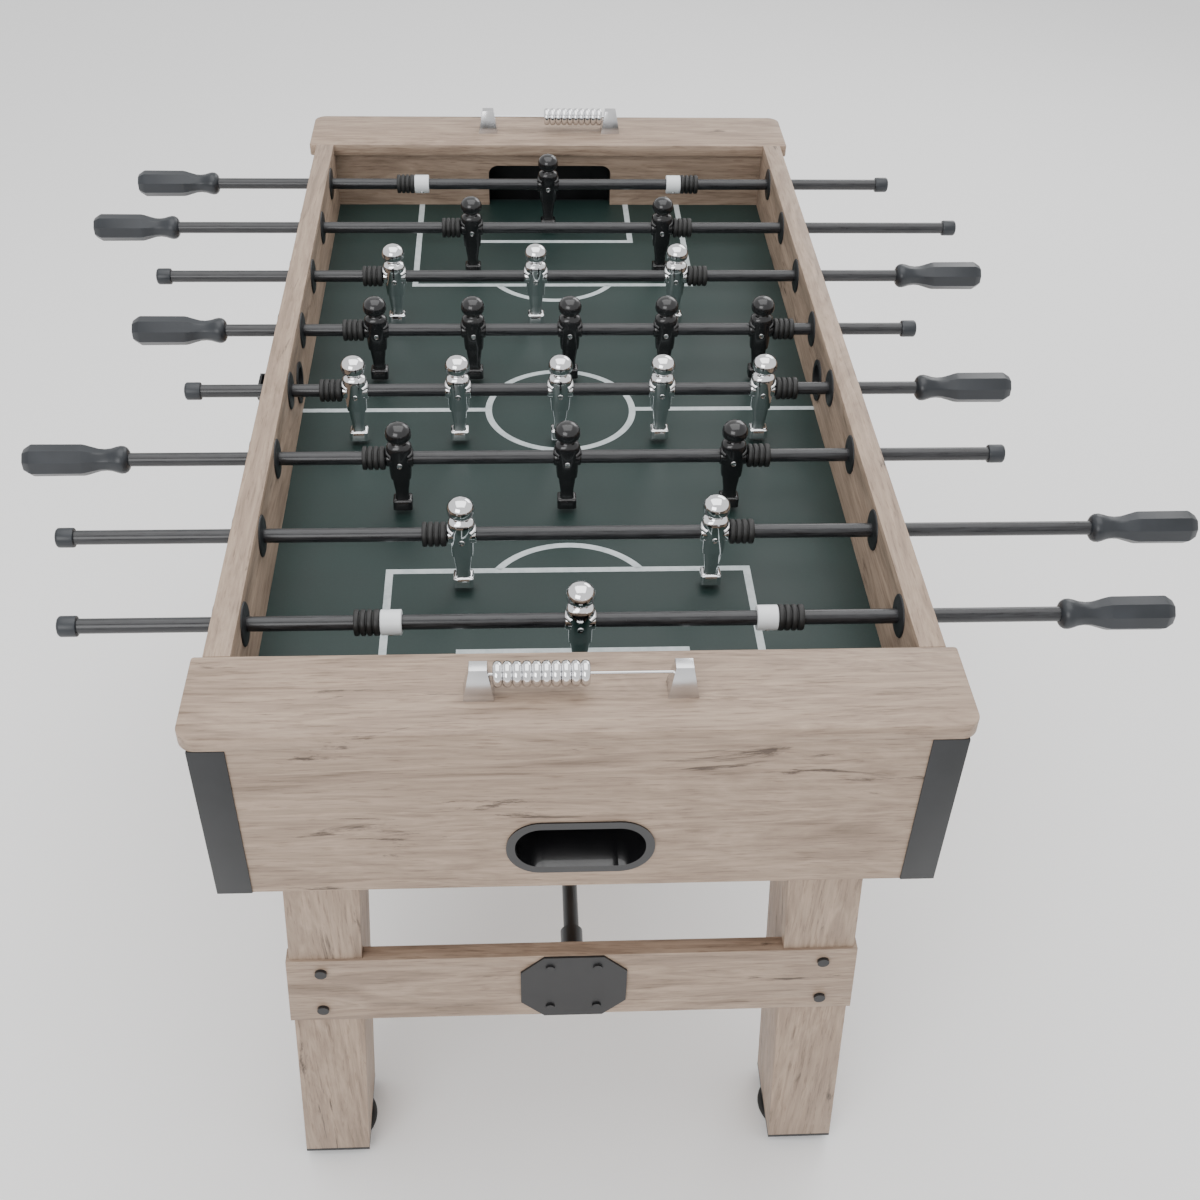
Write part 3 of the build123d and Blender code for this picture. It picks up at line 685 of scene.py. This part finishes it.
for number in range(1, 9):
    line = rod_line[number - 1]
    ribs = bmesh.new()
    for low, high in islands(f"bumpers_{number}"):
        ring_x(ribs, Vector((0, line.y, line.z)), bumper_profile(low, high), 44)
    node, body = f"bumpers_{number}", f"bumper_set_{number}"
    add_piece(f"ribbed_bumpers_{number}", ribs, rubber, node, body)
for number in (1, 8):
    line = rod_line[number - 1]
    rings, screws = bmesh.new(), bmesh.new()
    for low, high in islands(f"stop_collars_{number}"):
        ring_x(rings, Vector((0, line.y, line.z)), collar_profile(low, high), 44)
        screw_at = Vector(((low + high) / 2, line.y - COLLAR_SCREW_REACH, line.z - COLLAR_SCREW_REACH))
        add_screw(screws, screw_at, (0, -1, -1), COLLAR_SCREW_RADIUS)
    node, body = f"stop_collars_{number}", f"player_rod_{number}"
    add_piece(f"white_collars_{number}", rings, white_plastic, node, body)
    add_piece(f"collar_screws_{number}", screws, silver, None, body, stands_for=False)
print("bumpers and collars turned")

# %% [markdown]
# ## Grips and tips
# The grip is eight-sided where the palm closes, rounds off to a waist for the thumb, and flares to
# a soft collar beside the table. Each outline blends an octagon with a circle, so the flats fade
# into the waist. The other end of the rod wears a small rubber cap.

# %% Grips and tips
GRIP = [
    (0.0, 9.0, 0.0), (0.6, 11.5, 0.0), (2.5, 14.2, 0.0), (5.5, 16.0, 0.05), (9.5, 16.5, 0.15),
    (14.0, 15.6, 0.3), (20.0, 13.8, 0.5), (27.0, 12.9, 0.7), (34.0, 13.4, 0.85), (42.0, 15.6, 1.0),
    (50.0, 18.0, 1.0), (54.0, 18.7, 1.0), (111.0, 19.0, 1.0), (113.0, 18.4, 1.0), (120.4, 13.6, 1.0),
    (121.0, 13.0, 1.0),
]
GRIP_SIDES = 48
TIP = [
    (0.0, 7.2), (0.8, 9.4), (2.4, 10.8), (4.0, 11.0), (18.5, 11.0), (19.6, 10.6), (20.0, 9.8), (20.0, 8.2),
]


def octagon_share(angle):
    """The distance to an octagon's side, as a share of its corner radius."""
    wedge = (angle % (math.pi / 4)) - math.pi / 8
    return math.cos(math.pi / 8) / math.cos(wedge)


def add_grip(shell, start, side):
    rings = []
    for along, radius, facets in GRIP:
        ring = []
        for step in range(GRIP_SIDES):
            angle = math.tau * step / GRIP_SIDES
            reach = radius * (1 - facets + facets * octagon_share(angle))
            turned = angle + math.pi / 8
            offset = Vector((side * along, reach * math.cos(turned), reach * math.sin(turned)))
            ring.append(shell.verts.new(start + offset * MM))
        rings.append(ring)
    for first, second in zip(rings, rings[1:]):
        for step in range(GRIP_SIDES):
            after = (step + 1) % GRIP_SIDES
            shell.faces.new((first[step], first[after], second[after], second[step]))
    shell.faces.new(rings[0])
    shell.faces.new(list(reversed(rings[-1])))


def add_tip(shell, end, side):
    solid_x(shell, end, [(-side * a * MM, r * MM) for a, r in TIP], 40)


for number in range(1, 9):
    line = rod_line[number - 1]
    (left_low, left_high), (right_low, right_high) = islands(f"grips_{number}")
    grip_on_right = right_high - right_low > left_high - left_low
    side = 1 if grip_on_right else -1
    grip_start = right_low if grip_on_right else left_high
    tip_end = left_low if grip_on_right else right_high
    ends = bmesh.new()
    add_grip(ends, Vector((grip_start, line.y, line.z)), side)
    add_tip(ends, Vector((tip_end, line.y, line.z)), -side)
    node, body = f"grips_{number}", f"player_rod_{number}"
    add_piece(f"grip_and_tip_{number}", ends, grip_plastic, node, body)
print("grips and tips made")

# %% [markdown]
# ## Scorers
# Two small plated pyramids hold a wire, and ten rounded rings slide along it. The rings are turned
# from a half-round outline, which gives each the bright double highlight of a plated bead.

# %% Scorers
def bead_profile(low, high, radius):
    """A rounded ring's closed outline."""
    middle, half = (low + high) / 2, (high - low) / 2
    bore = 1.6 * MM
    profile = [(low, bore), (low, radius * 0.62)]
    for step in range(1, 12):
        angle = math.pi * step / 12
        profile.append((middle - half * math.cos(angle), radius * (0.72 + 0.28 * math.sin(angle))))
    return profile + [(high, radius * 0.62), (high, bore)]


for end in ("near", "far"):
    node = f"scorer_beads_{end}"
    low_corner, high_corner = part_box(node)
    centre = (low_corner + high_corner) / 2
    radius = (high_corner.z - low_corner.z) / 2
    rings = bmesh.new()
    for low, high in islands(node):
        ring_x(rings, Vector((0, centre.y, centre.z)), bead_profile(low, high, radius), 48)
    add_piece(f"counting_rings_{end}", rings, chrome, node, f"score_beads_{end}")
softened("scorer_stands", silver, 1.1 * MM, "cabinet", 3)
print("scorers ready")

# %% [markdown]
# ## Feet
# Each leg stands on a round rubber-faced pad that screws in to level the table. The pad has a soft
# rim and a shallow step, with a threaded stem up the middle.

# %% Feet
def add_pad(shell, centre):
    """A levelling pad turned about a line along Z."""
    profile = [(0.0, 44.0), (1.0, 46.8), (3.0, 48.0), (5.5, 47.6), (7.2, 45.5), (8.0, 42.0), (8.0, 15.0)]
    profile += [(10.4, 14.0), (10.6, 5.0), (48.0, 5.0)]
    sides = 64
    rings = []
    for height, radius in profile:
        ring = []
        for step in range(sides):
            angle = math.tau * step / sides
            offset = Vector((math.cos(angle) * radius, math.sin(angle) * radius, height)) * MM
            ring.append(shell.verts.new(centre + offset))
        rings.append(ring)
    for first, second in zip(rings, rings[1:]):
        for step in range(sides):
            after = (step + 1) % sides
            shell.faces.new((first[step], first[after], second[after], second[step]))
    shell.faces.new(list(reversed(rings[0])))
    shell.faces.new(rings[-1])


for corner in ("far_left", "far_right", "near_left", "near_right"):
    low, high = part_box(f"leveler_{corner}")
    pad = bmesh.new()
    add_pad(pad, Vector(((low.x + high.x) / 2, (low.y + high.y) / 2, low.z)))
    add_piece(f"levelling_pad_{corner}", pad, rubber, f"leveler_{corner}", f"foot_{corner}")
print("four feet")

# %% [markdown]
# ## Studio
# A pale floor, a broad light overhead, one from the viewer's side and a weaker one from behind give
# even light with soft shadows. The chrome needs something to reflect, so the lights are large.

# %% Floor and lights
def floor():
    shell = bmesh.new()
    bmesh.ops.create_grid(shell, x_segments=1, y_segments=1, size=12.0)
    mesh = bpy.data.meshes.new("pale_floor")
    shell.to_mesh(mesh)
    shell.free()
    finish = Finish("pale_floor", roughness=0.7)
    finish.shader.inputs["Base Color"].default_value = (0.97, 0.97, 0.97, 1.0)
    mesh.materials.append(finish.material)
    ground = bpy.data.objects.new("pale_floor", mesh)
    bpy.context.scene.collection.objects.link(ground)


def softbox(name, place, aim, size, power):
    data = bpy.data.lights.new(name, "AREA")
    data.shape = "RECTANGLE"
    data.size, data.size_y = size
    data.energy = power
    lamp = bpy.data.objects.new(name, data)
    lamp.location = place
    lamp.rotation_euler = (Vector(aim) - Vector(place)).to_track_quat("-Z", "Y").to_euler()
    bpy.context.scene.collection.objects.link(lamp)


floor()
softbox("overhead", (0.0, 0.2, 3.6), (0, 0, 0.8), (3.2, 3.6), 75.0)
softbox("from_the_viewer", (-1.6, -3.4, 2.6), (0, 0, 0.6), (2.4, 2.0), 60.0)
softbox("from_behind", (1.8, 3.0, 2.4), (0, 0, 0.8), (2.0, 1.6), 30.0)
world = bpy.data.worlds.new("studio")
world.use_nodes = True
world.node_tree.nodes["Background"].inputs["Color"].default_value = (1.0, 1.0, 1.0, 1.0)
world.node_tree.nodes["Background"].inputs["Strength"].default_value = 1.0
bpy.context.scene.world = world
